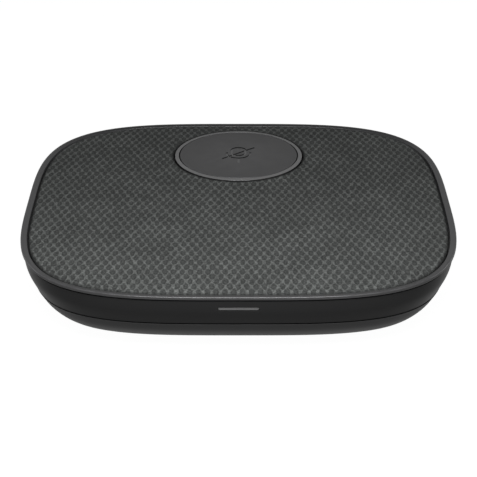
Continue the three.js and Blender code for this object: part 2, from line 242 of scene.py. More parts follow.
def spots(name: str, places: list[Place]) -> Object:
    """A new object with only loose points, in millimetres, for a tree to build on."""
    mesh = bpy.data.meshes.new(name)
    mesh.from_pydata([tuple(v * MM for v in place) for place in places], [], [])
    return linked(name, mesh)


def piece(name: str, points: np.ndarray, faces: Faces, merge: float = 1e-3) -> Object:
    """Makes a closed, outward-facing piece.

    Args:
        name: The piece's name.
        points: n by 3, in millimetres.
        faces: Corner numbers of each face.
        merge: Points nearer than this, in millimetres, become one.

    Returns:
        The new object, linked to the scene.
    """
    mesh = bpy.data.meshes.new(name)
    mesh.from_pydata((np.asarray(points) * MM).tolist(), [], faces)
    made = linked(name, mesh)
    work = bmesh.new()
    work.from_mesh(mesh)
    bmesh.ops.remove_doubles(work, verts=work.verts, dist=merge * MM)
    bmesh.ops.dissolve_degenerate(work, edges=work.edges, dist=1e-8)
    bmesh.ops.recalc_face_normals(work, faces=work.faces)
    work.to_mesh(mesh)
    work.free()
    return made


def swept(name: str, profile: list[Corner]) -> Object:
    """Sweeps a profile of (inset, height) points round the casing's outline."""
    angles = np.arange(CASING_SIDES) * TURN / CASING_SIDES
    rings = [
        np.column_stack([OUTLINE.ring(angles, inset), np.full(CASING_SIDES, z)])
        for inset, z in profile
    ]
    return piece(name, *rings_to_mesh(rings, loop=True))


def turned(
    name: str, profile: list[Corner], centre: Corner = (0, 0), sides: int = ROUND_SIDES
) -> Object:
    """Turns a profile of (radius, height) points about a vertical axis."""
    angles = np.arange(sides) * TURN / sides
    plan = np.stack([np.cos(angles), np.sin(angles)], axis=1)
    rings = [np.column_stack([plan * r + np.array(centre), np.full(sides, z)]) for r, z in profile]
    return piece(name, *rings_to_mesh(rings, loop=True))


def rod(name: str, radius: float, low: float, high: float, centre: Corner) -> Object:
    """A plain upright rod, used as a boss or a drill."""
    return turned(name, [(0, low), (radius, low), (radius, high), (0, high)], centre, sides=SMALL_SIDES)


def capped(name: str, rings: list[np.ndarray]) -> Object:
    """A bar through rings of points, closed by a flat face at each end."""
    points, faces = rings_to_mesh(rings, loop=False)
    n = len(rings[0])
    faces += [tuple(range(n)), tuple(range(len(points) - n, len(points)))]
    return piece(name, points, faces)


def round_bar_section(width: float, height: float, steps: int = 12) -> np.ndarray:
    """The outline of a bar with round ends, n by 2, about its own middle."""
    r = height / 2
    half = np.linspace(-math.pi / 2, math.pi / 2, steps + 1)
    right = np.stack([width / 2 - r + r * np.cos(half), r * np.sin(half)], axis=1)
    return np.concatenate([right, -right])


def bar_along_y(name: str, stations: list[tuple[float, float, float]], z: float) -> Object:
    """A round-ended bar that runs front to back.

    Args:
        name: The piece's name.
        stations: (y, width, height) at each section.
        z: The height of its middle.

    Returns:
        The closed bar.
    """
    rings = []
    for y, width, height in stations:
        section = round_bar_section(width, height)
        rings.append(np.column_stack([section[:, 0], np.full(len(section), y), section[:, 1] + z]))
    return capped(name, rings)


def box_piece(name: str, low: Corner, high: Corner, round_by: float = 0.0) -> Object:
    """A block between two corners, with its edges rounded."""
    made = piece(
        name,
        np.array([[(low, high)[(i >> k) & 1][k] for k in range(3)] for i in range(8)], float),
        [(0, 1, 3, 2), (4, 5, 7, 6), (0, 1, 5, 4), (2, 3, 7, 6), (0, 2, 6, 4), (1, 3, 7, 5)],
    )
    if round_by:
        bevel = made.modifiers.new("edges", "BEVEL")
        bevel.width = round_by * MM
        bevel.segments = 3
        settle(made)
    return made


def settle(made: Object) -> None:
    """Turns an object's modifiers into plain mesh."""
    graph = bpy.context.evaluated_depsgraph_get()
    old = made.data
    made.data = bpy.data.meshes.new_from_object(made.evaluated_get(graph))
    made.modifiers.clear()
    bpy.data.meshes.remove(old)


def carve(
    target: Object, tools: list[Object], operation: str = "DIFFERENCE"
) -> None:
    """Cuts tools out of a piece, or adds them to it.

    Args:
        target: The piece.
        tools: Objects to use, which are removed afterwards.
        operation: DIFFERENCE or UNION.
    """
    for tool in tools:
        change = target.modifiers.new("carve", "BOOLEAN")
        change.solver = "EXACT"
        change.operation = operation
        change.object = tool
    settle(target)
    for tool in tools:
        bpy.data.objects.remove(tool)


def dress(
    made: Object,
    finish: Material,
    body: Body,
    nodes: list[str],
    crease: float = 32,
) -> None:
    """Shades a finished piece and ties it to the frame.

    Args:
        made: The piece.
        finish: Its material.
        body: The CAD body that it rides on.
        nodes: The CAD nodes that it replaces.
        crease: Edges that turn by more than this many degrees stay sharp.
    """
    mesh = made.data
    work = bmesh.new()
    work.from_mesh(mesh)
    # how far each point sits on a convex edge; the materials lighten these edges as wear and as a
    # painted highlight
    wear_and_highlight_layer = work.verts.layers.float.new("edge")
    for edge in work.edges:
        turn = edge.calc_face_angle_signed(0.0)
        edge.smooth = abs(turn) < math.radians(crease)
        amount = min(max((math.degrees(turn) - WEAR_AND_HIGHLIGHT_FROM) / WEAR_AND_HIGHLIGHT_SPAN, 0.0), 1.0)
        for vert in edge.verts:
            vert[wear_and_highlight_layer] = max(vert[wear_and_highlight_layer], amount)
    for face in work.faces:
        face.smooth = True
    work.to_mesh(mesh)
    work.free()
    mesh.materials.clear()
    mesh.materials.append(finish)
    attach(made, body.value)
    if nodes:
        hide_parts(*nodes)
    LOG.info("%s: %d faces, on %s", made.name, len(mesh.polygons), body.value)


# ---------------------------------------------------------------- node trees


class Wiring:
    """Adds nodes to a shader or geometry tree and joins them."""

    def __init__(self, tree: NodeTree) -> None:
        """Starts on a tree."""
        self.tree = tree

    def node(self, kind: str, settings: dict | None = None, **inputs: object) -> Node:
        """Adds a node.

        Args:
            kind: The node's type.
            settings: Properties to set on it.
            **inputs: Values or sockets for its inputs, by name with _ for a space, or by
                number as i0, i1.

        Returns:
            The node.
        """
        made = self.tree.nodes.new(kind)
        for key, value in (settings or {}).items():
            setattr(made, key, value)
        self.feed(made, **inputs)
        return made

    def feed(self, node: Node, **inputs: object) -> None:
        """Sets a node's inputs, which are given as for node()."""
        for key, value in inputs.items():
            numbered = key[0] == "i" and key[1:].isdigit()
            socket = node.inputs[int(key[1:])] if numbered else node.inputs[key.replace("_", " ")]
            if isinstance(value, NodeSocket):
                self.tree.links.new(value, socket)
            else:
                socket.default_value = value

    def math(self, operation: str, *values: object, clamp: bool = False) -> NodeSocket:
        """One sum; values are numbers or sockets."""
        settings = {"operation": operation, "use_clamp": clamp}
        inputs = {f"i{i}": v for i, v in enumerate(values)}
        return self.node("ShaderNodeMath", settings, **inputs).outputs[0]

    def vector(self, operation: str, *values: object, **named: object) -> NodeSocket:
        """One sum on vectors; values are vectors or sockets."""
        inputs = {f"i{i}": v for i, v in enumerate(values)}
        made = self.node("ShaderNodeVectorMath", {"operation": operation}, **inputs, **named)
        return made.outputs[0]

    def ramp(
        self, value: object, low: float, high: float, to_low: float = 0, to_high: float = 1
    ) -> NodeSocket:
        """A smooth step of value from low to high."""
        made = self.node(
            "ShaderNodeMapRange",
            {"interpolation_type": "SMOOTHSTEP"},
            Value=value,
            From_Min=low,
            From_Max=high,
            To_Min=to_low,
            To_Max=to_high,
        )
        return made.outputs[0]

    def noise(
        self, vector: object, scale: object, detail: float = 2.0, colour: bool = False
    ) -> NodeSocket:
        """A noise value, or three at once as a colour."""
        made = self.node("ShaderNodeTexNoise", None, Vector=vector, Scale=scale, Detail=detail)
        return made.outputs["Color" if colour else 0]

    def marked(self, name: str) -> NodeSocket:
        """A value from 0 to 1 that the piece's mesh carries."""
        return self.node("ShaderNodeAttribute", {"attribute_name": name}).outputs["Fac"]

    def bump(
        self, shader: Node, strength: float, distance: float, height: NodeSocket
    ) -> None:
        """Roughens a shader's surface by a height, with the distance in millimetres."""
        made = self.node(
            "ShaderNodeBump", None, Strength=strength, Distance=distance * MM, Height=height
        )
        self.feed(shader, Normal=made.outputs[0])

    def end_geometry(self, label: str, geometry: NodeSocket, finish: NodeSocket) -> None:
        """Ends a geometry tree: instances become real and take their finish."""
        whole = self.node("GeometryNodeRealizeInstances", None, Geometry=geometry)
        dressed = self.node(
            "GeometryNodeSetMaterial", None, Geometry=whole.outputs[0], Material=finish
        )
        self.node("NodeGroupOutput", None, **{label: dressed.outputs[0]})


def new_group(
    name: str, kind: str, inputs: dict[str, tuple[str, object]], outputs: dict[str, str]
) -> NodeTree:
    """Makes a node group with named sockets.

    Args:
        name: The group's name.
        kind: ShaderNodeTree or GeometryNodeTree.
        inputs: Socket type and starting value for each input, by name.
        outputs: Socket type of each output, by name.

    Returns:
        The group, still without nodes.
    """
    group = bpy.data.node_groups.new(name, kind)
    for label, (socket_type, value) in inputs.items():
        socket = group.interface.new_socket(label, in_out="INPUT", socket_type=socket_type)
        if value is not None:
            socket.default_value = value
    for label, socket_type in outputs.items():
        group.interface.new_socket(label, in_out="OUTPUT", socket_type=socket_type)
    return group


@dataclass(frozen=True)
class Weave:
    """The cloth's staggered lattice of dark cells in a lighter yarn network."""

    pitch: float = 1.92
    row: float = 2.27
    wobble: float = 0.34
    uneven: float = 0.3
    fray: float = 0.4
    drift_scale: float = 520.0
    fray_scale: float = 1700.0

    def lattice(self, wiring: Wiring, position: object, sizes: Node) -> NodeSocket:
        """Builds the lattice in a shader or geometry tree.

        Args:
            wiring: The tree.
            position: The socket that gives a point's place, in metres.
            sizes: The node whose outputs give Pitch, Row, Wobble and Uneven.

        Returns:
            A value from -1 at the yarn crossings to 1 in the middle of a cell.
        """
        moved = position
        for scale, reach in (
            (self.drift_scale, sizes.outputs["Wobble"]),
            (self.fray_scale, self.fray * MM),
        ):
            drift = wiring.noise(position, scale, 1.0, colour=True)
            drift = wiring.vector("SUBTRACT", drift, (0.5, 0.5, 0.5))
            moved = wiring.vector("ADD", moved, wiring.vector("SCALE", drift, Scale=reach))
        apart = wiring.node("ShaderNodeSeparateXYZ", None, i0=moved)
        across = wiring.math("DIVIDE", apart.outputs[0], sizes.outputs["Pitch"])
        across = wiring.math("MULTIPLY", across, TURN)
        along = wiring.math("DIVIDE", apart.outputs[1], sizes.outputs["Row"])
        along = wiring.math("MULTIPLY", along, math.pi)
        one = wiring.math("WRAP", wiring.math("ADD", across, along), math.pi, -math.pi)
        other = wiring.math("WRAP", wiring.math("SUBTRACT", across, along), math.pi, -math.pi)
        squares = wiring.math("MULTIPLY_ADD", one, one, wiring.math("MULTIPLY", other, other))
        wave = wiring.math("MULTIPLY_ADD", wiring.math("SQRT", squares), -math.sqrt(2) / math.pi, 1.0)
        patchy = wiring.math("SUBTRACT", wiring.noise(position, 330.0, 2.0), 0.5)
        return wiring.math("MULTIPLY_ADD", patchy, sizes.outputs["Uneven"], wave)

    def sockets(self) -> dict[str, tuple[str, object]]:
        """The lattice's named inputs, in metres."""
        return {
            "Pitch": ("NodeSocketFloat", self.pitch * MM),
            "Row": ("NodeSocketFloat", self.row * MM),
            "Wobble": ("NodeSocketFloat", self.wobble * MM * 2),
            "Uneven": ("NodeSocketFloat", self.uneven * 2),
        }

    def shader_group(self) -> NodeTree:
        """The lattice as a shader group: yarn, the cells' dark margins, fibres and a slow tone."""
        inputs = {"Vector": ("NodeSocketVector", None), **self.sockets()}
        outputs = {label: "NodeSocketFloat" for label in ("Yarn", "Margin", "Fibre", "Tone")}
        group = new_group("open_weave", "ShaderNodeTree", inputs, outputs)
        w = Wiring(group)
        given = w.node("NodeGroupInput")
        place = given.outputs["Vector"]
        wave = self.lattice(w, place, given)
        yarn = w.ramp(wave, -0.06, -0.5)
        margin = w.ramp(w.math("ABSOLUTE", w.math("SUBTRACT", wave, 0.12)), 0.3, 0.0)
        strands = w.node("ShaderNodeMapping", None, Vector=place, Scale=(1.0, 1.7, 1.0))
        fibre = w.noise(strands.outputs[0], 2300.0, 3.0)
        tone = w.noise(place, 95.0, 3.0)
        w.node("NodeGroupOutput", None, Yarn=yarn, Margin=margin, Fibre=fibre, Tone=tone)
        return group

    def relief_tree(self) -> NodeTree:
        """The lattice as real relief: cells sink below the yarn, and the sheet's edges stay plain."""
        inputs = {
            "Sheet": ("NodeSocketGeometry", None),
            **self.sockets(),
            "Depth": ("NodeSocketFloat", 0.3 * MM),
            "Finish": ("NodeSocketMaterial", None),
        }
        group = new_group("weave_relief", "GeometryNodeTree", inputs, {"Cloth": "NodeSocketGeometry"})
        w = Wiring(group)
        given = w.node("NodeGroupInput")
        place = w.node("GeometryNodeInputPosition").outputs[0]
        wave = self.lattice(w, place, given)
        sunk = w.ramp(wave, -0.6, 0.25)
        lumps = w.math("MULTIPLY", w.math("SUBTRACT", w.noise(place, 1500.0, 1.0), 0.5), 0.35)
        free = w.node("GeometryNodeInputNamedAttribute", {"data_type": "FLOAT"}, Name="free")
        drop = w.math("MULTIPLY", w.math("ADD", sunk, lumps), free.outputs[0])
        drop = w.math("MULTIPLY", drop, w.math("MULTIPLY", given.outputs["Depth"], -1.0))
        offset = w.node("ShaderNodeCombineXYZ", None, Z=drop).outputs[0]
        moved = w.node(
            "GeometryNodeSetPosition", None, Geometry=given.outputs["Sheet"], Offset=offset
        )
        w.end_geometry("Cloth", moved.outputs[0], given.outputs["Finish"])
        return group


def run_tree(host: Object, tree: NodeTree, values: dict[str, object]) -> None:
    """Runs a geometry tree on an object and keeps the plain mesh.

    Args:
        host: The object that carries the tree.
        tree: The geometry tree.
        values: Input values by name.
    """
    modifier = host.modifiers.new(tree.name, "NODES")
    modifier.node_group = tree
    sockets = {s.name: s.identifier for s in tree.interface.items_tree if s.in_out == "INPUT"}
    for label, value in values.items():
        modifier[sockets[label]] = value
    host.update_tag()
    settle(host)


# ---------------------------------------------------------------- finishes


class SharedEffects:
    """Shader groups that several materials use."""

    def __init__(self) -> None:
        """Builds each group once."""
        self.weave = Weave().shader_group()
        self.grain = self._grain()
        self.worn_edge_and_highlight = self._worn_edge_and_highlight()

    @staticmethod
    def _grain() -> NodeTree:
        """Fine moulded or cast grain: a height, and a tone that wanders round 1."""
        group = new_group(
            "surface_grain",
            "ShaderNodeTree",
            {
                "Vector": ("NodeSocketVector", None),
                "Grain": ("NodeSocketFloat", 3000.0),
                "Mottle": ("NodeSocketFloat", 0.1),
            },
            {"Height": "NodeSocketFloat", "Tone": "NodeSocketFloat"},
        )
        w = Wiring(group)
        given = w.node("NodeGroupInput")
        place, scale = given.outputs["Vector"], given.outputs["Grain"]
        fine = w.noise(place, scale, 2.0)
        cells = w.node("ShaderNodeTexVoronoi", None, Vector=place, Scale=scale)
        height = w.math("MULTIPLY_ADD", cells.outputs["Distance"], 0.5, fine)
        cloud = w.math("SUBTRACT", w.noise(place, 70.0, 4.0), 0.5)
        tone = w.math("MULTIPLY_ADD", cloud, given.outputs["Mottle"], 1.0)
        w.node("NodeGroupOutput", None, Height=height, Tone=tone)
        return group

    @staticmethod
    def _worn_edge_and_highlight() -> NodeTree:
        """Where an edge is lighter, 0 to 1, broken up along its length: partly polish from handling,
        partly a painted highlight.
        """
        group = new_group(
            "worn_edge_and_highlight",
            "ShaderNodeTree",
            {
                "Vector": ("NodeSocketVector", None),
                "Edge": ("NodeSocketFloat", 0.0),
                "Amount": ("NodeSocketFloat", 0.5),
            },
            {"Mask": "NodeSocketFloat"},
        )
        w = Wiring(group)
        given = w.node("NodeGroupInput")
        broken = w.ramp(w.noise(given.outputs["Vector"], 260.0, 4.0), 0.3, 0.65, 0.35, 1.0)
        mask = w.math("MULTIPLY", given.outputs["Edge"], broken)
        mask = w.math("MULTIPLY", mask, given.outputs["Amount"], clamp=True)
        w.node("NodeGroupOutput", None, Mask=mask)
        return group


def blank_material(name: str) -> tuple[Material, Wiring, Node, NodeSocket]:
    """A new material.

    Args:
        name: Its name.

    Returns:
        The material, its wiring, its shader and the place socket that patterns read.
    """
    material = bpy.data.materials.new(name)
    material.use_nodes = True
    wiring = Wiring(material.node_tree)
    shader = material.node_tree.nodes["Principled BSDF"]
    place = wiring.node("ShaderNodeTexCoord").outputs["Object"]
    return material, wiring, shader, place


def group_node(wiring: Wiring, group: NodeTree, **inputs: object) -> Node:
    """Places a shader group in a material with its own values."""
    return wiring.node("ShaderNodeGroup", {"node_tree": group}, **inputs)


def tinted(wiring: Wiring, colour: Colour, tone: NodeSocket) -> NodeSocket:
    """A colour multiplied by a tone."""
    return wiring.vector("SCALE", colour, Scale=tone)


def blended(wiring: Wiring, mask: object, low: object, high: object) -> NodeSocket:
    """A colour between two colours, by mask."""
    made = wiring.node("ShaderNodeMix", {"data_type": "RGBA"}, Factor=mask)
    for index, value in ((6, low), (7, high)):
        if isinstance(value, NodeSocket):
            wiring.tree.links.new(value, made.inputs[index])
        else:
            made.inputs[index].default_value = (*value, 1.0)
    return made.outputs[2]


@dataclass(frozen=True)
class Moulded:
    """Moulded plastic or rubber with a fine grain."""

    name: str
    colour: Colour
    roughness: float
    grain: float = 4200.0
    relief: float = 0.08
    mottle: float = 0.16
    # the next two fields lighten convex edges: partly handling wear, partly a painted highlight
    edge_wear_and_highlight: float = 0.35
    rubbed_and_highlight: float = 1.7
    specular: float = 0.5
    coat: float = 0.0
    # etched is an engraving floor's colour; when it is set, walls marked in the mesh are darkened by
    # wall_shade as painted shade
    etched: Colour | None = None
    wall_shade: float = 0.12

    def material(self, effects: SharedEffects) -> Material:
        """Builds the material."""
        material, w, shader, place = blank_material(self.name)
        grain = group_node(w, effects.grain, Vector=place, Grain=self.grain, Mottle=self.mottle)
        edge = w.marked("edge")
        wear_and_highlight_mask = group_node(w, effects.worn_edge_and_highlight, Vector=place, Edge=edge, Amount=self.edge_wear_and_highlight)
        wear_and_highlight_mask = wear_and_highlight_mask.outputs["Mask"]
        plain = tinted(w, self.colour, grain.outputs["Tone"])
        # the lighter edge colour: worn plastic, and a painted highlight
        rubbed_and_highlight = tuple(min(c * self.rubbed_and_highlight + 0.004, 1.0) for c in self.colour)
        colour = blended(w, wear_and_highlight_mask, plain, rubbed_and_highlight)
        if self.etched:
            # marked walls are darkened: painted shade in grooves and gaps
            floor, wall = w.marked("etched"), w.marked("painted_shade_wall")
            colour = blended(w, floor, colour, self.etched)
            colour = blended(w, wall, colour, tuple(c * self.wall_shade for c in self.colour))
        rough = w.math("MULTIPLY", grain.outputs["Tone"], self.roughness)
        rough = w.math("MULTIPLY_ADD", wear_and_highlight_mask, -0.25 * self.roughness, rough)
        w.feed(shader, Base_Color=colour, Roughness=rough)
        w.bump(shader, self.relief, 0.06, grain.outputs["Height"])
        shader.inputs["Specular IOR Level"].default_value = self.specular
        shader.inputs["Coat Weight"].default_value = self.coat
        shader.inputs["Coat Roughness"].default_value = 0.18
        return material


@dataclass(frozen=True)
class AcousticCloth:
    """Open woven cloth: dark cells in a lighter yarn network."""

    name: str
    cell: Colour
    yarn: Colour
    roughness: float = 0.88
    tuck_shade: float = 0.35

    def material(self, effects: SharedEffects) -> Material:
        """Builds the material."""
        material, w, shader, place = blank_material(self.name)
        weave = group_node(w, effects.weave, Vector=place)
        fibre = w.ramp(weave.outputs["Fibre"], 0.34, 0.66, 0.62, 1.42)
        tone = w.math("MULTIPLY", fibre, w.ramp(weave.outputs["Tone"], 0.3, 0.7, 0.9, 1.1))
        tone = w.math("MULTIPLY", tone, w.ramp(weave.outputs["Margin"], 0.0, 1.0, 1.0, 0.8))
        colour = blended(w, weave.outputs["Yarn"], self.cell, self.yarn)
        # painted shade where the cloth is tucked under the rim and beside the light ring
        shadow = tuple(c * self.tuck_shade for c in self.cell)
        colour = blended(w, w.marked("tucked"), colour, shadow)
        rough = w.ramp(weave.outputs["Yarn"], 0.0, 1.0, 0.96, self.roughness)
        w.feed(shader, Base_Color=tinted(w, colour, tone), Roughness=rough)
        height = w.math("MULTIPLY_ADD", weave.outputs["Fibre"], 0.6, weave.outputs["Yarn"])
        w.bump(shader, 0.35, 0.12, height)
        shader.inputs["Specular IOR Level"].default_value = 0.25
        return material


@dataclass(frozen=True)
class Metal:
    """Bare, plated or sintered metal with fine brushing."""

    name: str
    colour: Colour
    roughness: float
    metallic: float = 1.0
    brushed: Place = (1.0, 1.0, 6.0)
    relief: float = 0.12

    def material(self, effects: SharedEffects) -> Material:
        """Builds the material."""
        material, w, shader, place = blank_material(self.name)
        drawn = w.node("ShaderNodeMapping", None, Vector=place, Scale=self.brushed).outputs[0]
        grain = group_node(w, effects.grain, Vector=drawn, Grain=1800.0, Mottle=0.3)
        tone = grain.outputs["Tone"]
        rough = w.math("MULTIPLY", tone, self.roughness)
        w.feed(shader, Base_Color=tinted(w, self.colour, tone), Roughness=rough)
        w.bump(shader, self.relief, 0.05, grain.outputs["Height"])
        shader.inputs["Metallic"].default_value = self.metallic
        return material


@dataclass(frozen=True)
class CircuitBoard:
    """Solder mask over copper traces."""

    name: str
    mask: Colour = (0.008, 0.060, 0.026)
    trace: Colour = (0.016, 0.105, 0.045)

    def material(self, effects: SharedEffects) -> Material:
        """Builds the material."""
        material, w, shader, place = blank_material(self.name)
        squares = {"distance": "MANHATTAN", "feature": "DISTANCE_TO_EDGE"}
        cells = w.node("ShaderNodeTexVoronoi", squares, Vector=place, Scale=420.0)
        trace = w.ramp(cells.outputs["Distance"], 0.10, 0.06)
        grain = group_node(w, effects.grain, Vector=place, Grain=5200.0, Mottle=0.2)
        rough = w.math("MULTIPLY", grain.outputs["Tone"], 0.34)
        w.feed(shader, Base_Color=blended(w, trace, self.mask, self.trace), Roughness=rough)
        w.bump(shader, 0.3, 0.04, trace)
        return material


class Palette:
    """Every finish on the speakerphone, by its slot in the record."""

    def __init__(self) -> None:
        """Builds the materials."""
        effects = SharedEffects()
        finishes = [
            AcousticCloth(
                "acoustic_cloth", cell=(0.048, 0.0505, 0.0490), yarn=(0.094, 0.0985, 0.0955)
            ),
            Moulded("gloss_black", (0.018, 0.018, 0.0182), 0.30, relief=0.02, specular=0.14),
            Moulded("matte_black", (0.026, 0.026, 0.0263), 0.36, relief=0.04, specular=0.25),
            # the rim's edges are lightened strongly: a painted highlight along its rolled ridge
            Moulded(
                "satin_black", (0.041, 0.041, 0.042), 0.32, relief=0.03, edge_wear_and_highlight=0.9, rubbed_and_highlight=2.4
            ),
            Moulded(
                "button_plastic", (0.052, 0.052, 0.053), 0.46, relief=0.04, etched=(0.13, 0.13, 0.131)
            ),
            Moulded(
                "diffuser",
                (0.125, 0.125, 0.126),
                0.36,
                relief=0.02,
                coat=0.1,
                # etched is set to the ring's own colour only so that its marked side walls get painted
                # shade
                etched=(0.125, 0.125, 0.126),
            ),
            Moulded("bar_diffuser", (0.092, 0.092, 0.093), 0.36, relief=0.02, coat=0.1),
            Moulded("foot_rubber", (0.012, 0.012, 0.012), 0.82, grain=2600.0, relief=0.2),
            Moulded("surround_rubber", (0.010, 0.010, 0.010), 0.6, grain=3200.0, relief=0.1),
            Moulded("chip_black", (0.014, 0.014, 0.015), 0.5, grain=6000.0, relief=0.12),
            Moulded("connector_plastic", (0.68, 0.66, 0.58), 0.45, relief=0.04),
            Moulded("led_white", (0.80, 0.80, 0.74), 0.25, relief=0.02, coat=0.6),
            Moulded(
                "cone_paper", (0.020, 0.020, 0.020), 0.8, grain=1500.0, relief=0.35, mottle=0.4
            ),
            Moulded("spider_cloth", (0.38, 0.27, 0.12), 0.9, grain=1900.0, relief=0.4, mottle=0.3),
            Moulded("lead_red", (0.33, 0.02, 0.02), 0.42, relief=0.03),
            Moulded("lead_black", (0.015, 0.015, 0.015), 0.42, relief=0.03),
            Metal("port_steel", (0.50, 0.50, 0.51), 0.28, brushed=(1.0, 6.0, 1.0)),
            Metal("ballast_steel", (0.42, 0.42, 0.43), 0.4),
            Metal("screw_steel", (0.16, 0.16, 0.165), 0.35),
            Metal(
                "ferrite", (0.045, 0.045, 0.048), 0.6, metallic=0.25, brushed=(1.0, 1.0, 1.0), relief=0.3
            ),
            Metal("copper", (0.60, 0.25, 0.12), 0.3, brushed=(1.0, 1.0, 14.0)),
            Metal("mic_can", (0.60, 0.56, 0.44), 0.3),
            Metal("contact_gold", (0.75, 0.52, 0.20), 0.22),
            CircuitBoard("board_green"),
        ]
        self.by_slot = {finish.name: finish.material(effects) for finish in finishes}

    def __getitem__(self, slot: str) -> Material:
        """The material for a slot."""
        return self.by_slot[slot]


# ---------------------------------------------------------------- casing


@dataclass
class Casing:
    """The two housings, the rim and the foot."""

    palette: Palette
    wall: float = 1.8
    floor: float = 1.4
    seam_low: float = 10.45
    seam_high: float = 10.75
    rim_low: float = 17.75
    rim_top: float = 18.55
    rim_width: float = 1.45
    foot_outer: float = 17.7
    foot_inner: float = 23.9
    foot_top: float = 2.0
    recess_top: float = 2.1
    screw_inset: float = 20.5
    board_screw: Corner = (39.5, 18.0)
    light_slot: Corner = (9.1, 0.98, 15.34)
    port_slot: Corner = (9.34, 3.66, 13.08)
    # radius, low and high of what holds the screws, and of the holes in it
    boss: Corner = (3.3, 2.4, 8.4)
    post: Corner = (2.3, 4.4, 9.7)
    bore: Corner = (1.35, 0, 9.4)
    counterbore: Corner = (2.6, 0, 4.6)
    post_bore: Corner = (1.05, 6.3, 10.7)

    def screw_places(self) -> np.ndarray:
        """Where the four housing screws stand."""
        return OUTLINE.ring(np.radians([45, 135, 225, 315]), self.screw_inset)

    def board_screw_places(self) -> list[Corner]:
        """Where the four board screws stand."""
        x, y = self.board_screw
        return [(x, y), (-x, y), (-x, -y), (x, -y)]

    def lower_housing(self) -> None:
        """The bowl: outside curve, inside wall, foot groove, bosses and posts."""
        outside = smooth_curve(
            [(17.0, self.floor), (11.58, 2.95), (7.37, 5.25), (4.45, 7.75), (2.62, self.seam_low)], 8
        )
        inside = inner_line(outside[2:-2], self.wall)
        groove_in, groove_out = self.foot_inner + 0.1, self.foot_outer - 0.1
        lip_out, lip_in, lip_root, lip_top = 3.45, 4.3, 10.6, 11.3
        shadow_low, shadow_out = 9.85, 3.22
        land = [outside[-2], (*outside[-1], 0.1), (2.78, self.seam_low, 0.05), (shadow_out, shadow_low)]
        crest = [(across, lip_top, 0.15) for across in (lip_out, lip_in)]
        lip = [(lip_out, lip_root), *crest, (lip_in, lip_root)]
        profile = [
            (OUTLINE.centre, self.floor),
            (groove_in, self.floor),
            (groove_in, self.recess_top),
            (groove_out, self.recess_top),
            (groove_out, self.floor),
            *outside[:-1],
            *filleted(land, loop=False, steps=3)[1:],
            (lip_out, shadow_low),
            *filleted(lip, steps=3),
            *inside,
            (OUTLINE.centre, self.floor + self.wall),
        ]
        made = swept("lower_housing", profile)
        screws, posts = self.screw_places(), self.board_screw_places()
        added = [(self.boss, screws), (self.post, posts)]
        drilled = [(self.bore, screws), (self.counterbore, screws), (self.post_bore, posts)]
        for sizes, operation in ((added, "UNION"), (drilled, "DIFFERENCE")):
            carve(made, [rod("rod", *size, p) for size, places in sizes for p in places], operation)
        dress(made, self.palette["matte_black"], Body.BASE, ["lower_housing"])

    def upper_housing(self) -> None:
        """The dark band under the rim, with the light bar's slot and the port's mouth."""
        outside = smooth_curve([(2.58, self.seam_high), (0.98, 14.1), (0.45, 17.28)], 10)
        lower_edge = [(3.3, self.seam_high), (*outside[0], 0.12), outside[1]]
        profile = [
            *filleted(lower_edge, loop=False, steps=3)[1:-1],
            *outside[1:],
            *((1.25, 17.3), (1.3, 17.5), (1.62, 17.5), (1.62, 16.9)),  # the dark channel under the rim
            *((4.2, 16.9), (4.2, 15.7), (2.75, 14.6), (3.6, 11.85), (3.3, 11.7)),  # shelf and inside
            (3.3, self.seam_high),
        ]
        made = swept("upper_housing", profile)
        width, height, z = self.light_slot
        light = bar_along_y("light_slot", [(-52, width, height), (-46, width, height)], z)
        width, height, z = self.port_slot
        port = bar_along_y("port_slot", [(44, width, height), (52, width, height)], z)
        flare = [(48.65, width, height), (50.0, width + 2.2, height + 1.5)]
        lead_in = bar_along_y("port_lead_in", flare, z)
        carve(made, [light, port, lead_in])
        dress(made, self.palette["gloss_black"], Body.BASE, ["upper_housing"])

    def top_rim(self) -> None:
        """The satin frame round the cloth: it leans in a little and rolls over at its outer edge."""
        profile = filleted(
            [
                (self.rim_width, self.rim_low),
                (0.1, self.rim_low, 0.06),
                (0.0, 17.9, 0.08),
                (0.0, self.rim_top - 0.02, 0.4),
                (0.55, self.rim_top, 0.35),
                (self.rim_width, 18.34, 0.12),
            ],
            steps=7,
        )
        made = swept("top_rim", profile)
        dress(made, self.palette["satin_black"], Body.BASE, ["top_rim"])

    def foot_ring(self) -> None:
        """The rubber foot, with two shallow grip grooves in its face."""
        middle = (self.foot_outer + self.foot_inner) / 2
        lines: list[Corner] = [(self.foot_inner, 0.0, 0.25)]
        for at in (middle + 1.2, middle - 1.2):
            lines += [(at + 0.4, 0.0), (at + 0.25, 0.3), (at - 0.25, 0.3), (at - 0.4, 0.0)]
        lines += [(self.foot_outer, 0.0, 0.25)]
        lines += [(at, self.foot_top, 0.1) for at in (self.foot_outer, self.foot_inner)]
        made = swept("foot_ring", filleted(lines))
        dress(made, self.palette["foot_rubber"], Body.BASE, ["foot_ring"])

    def screw(self, name: str, finish: Material, sizes: tuple[float, ...]) -> Object:
        """One screw about the origin, head down, with ridged shank and a cross recess.

        Args:
            name: Its name.
            finish: Its material.
            sizes: Head radius, head height, shank radius, shank length and thread pitch.

        Returns:
            The screw.
        """
        head, rise, shank, length, pitch = sizes
        root, flank = shank * 0.82, pitch * 0.4
        profile: list[Corner] = [(0, 0), (head, 0, 0.3), (head, rise, 0.15), (root, rise)]
        z = rise + pitch
        while z < rise + length - pitch:
            profile += [(root, z - flank), (shank, z), (root, z + flank)]
            z += pitch
        profile += [(shank * 0.5, rise + length), (0, rise + length)]
        made = turned(name, filleted(profile, steps=3), sides=24)
        arm, half_slot, deep = head * 0.55, 0.3, rise * 0.55
        cross = ((arm, half_slot), (half_slot, arm))
        carve(made, [box_piece("slot", (-a, -b, -0.5), (a, b, deep)) for a, b in cross])
        made.data.materials.append(finish)
        return made

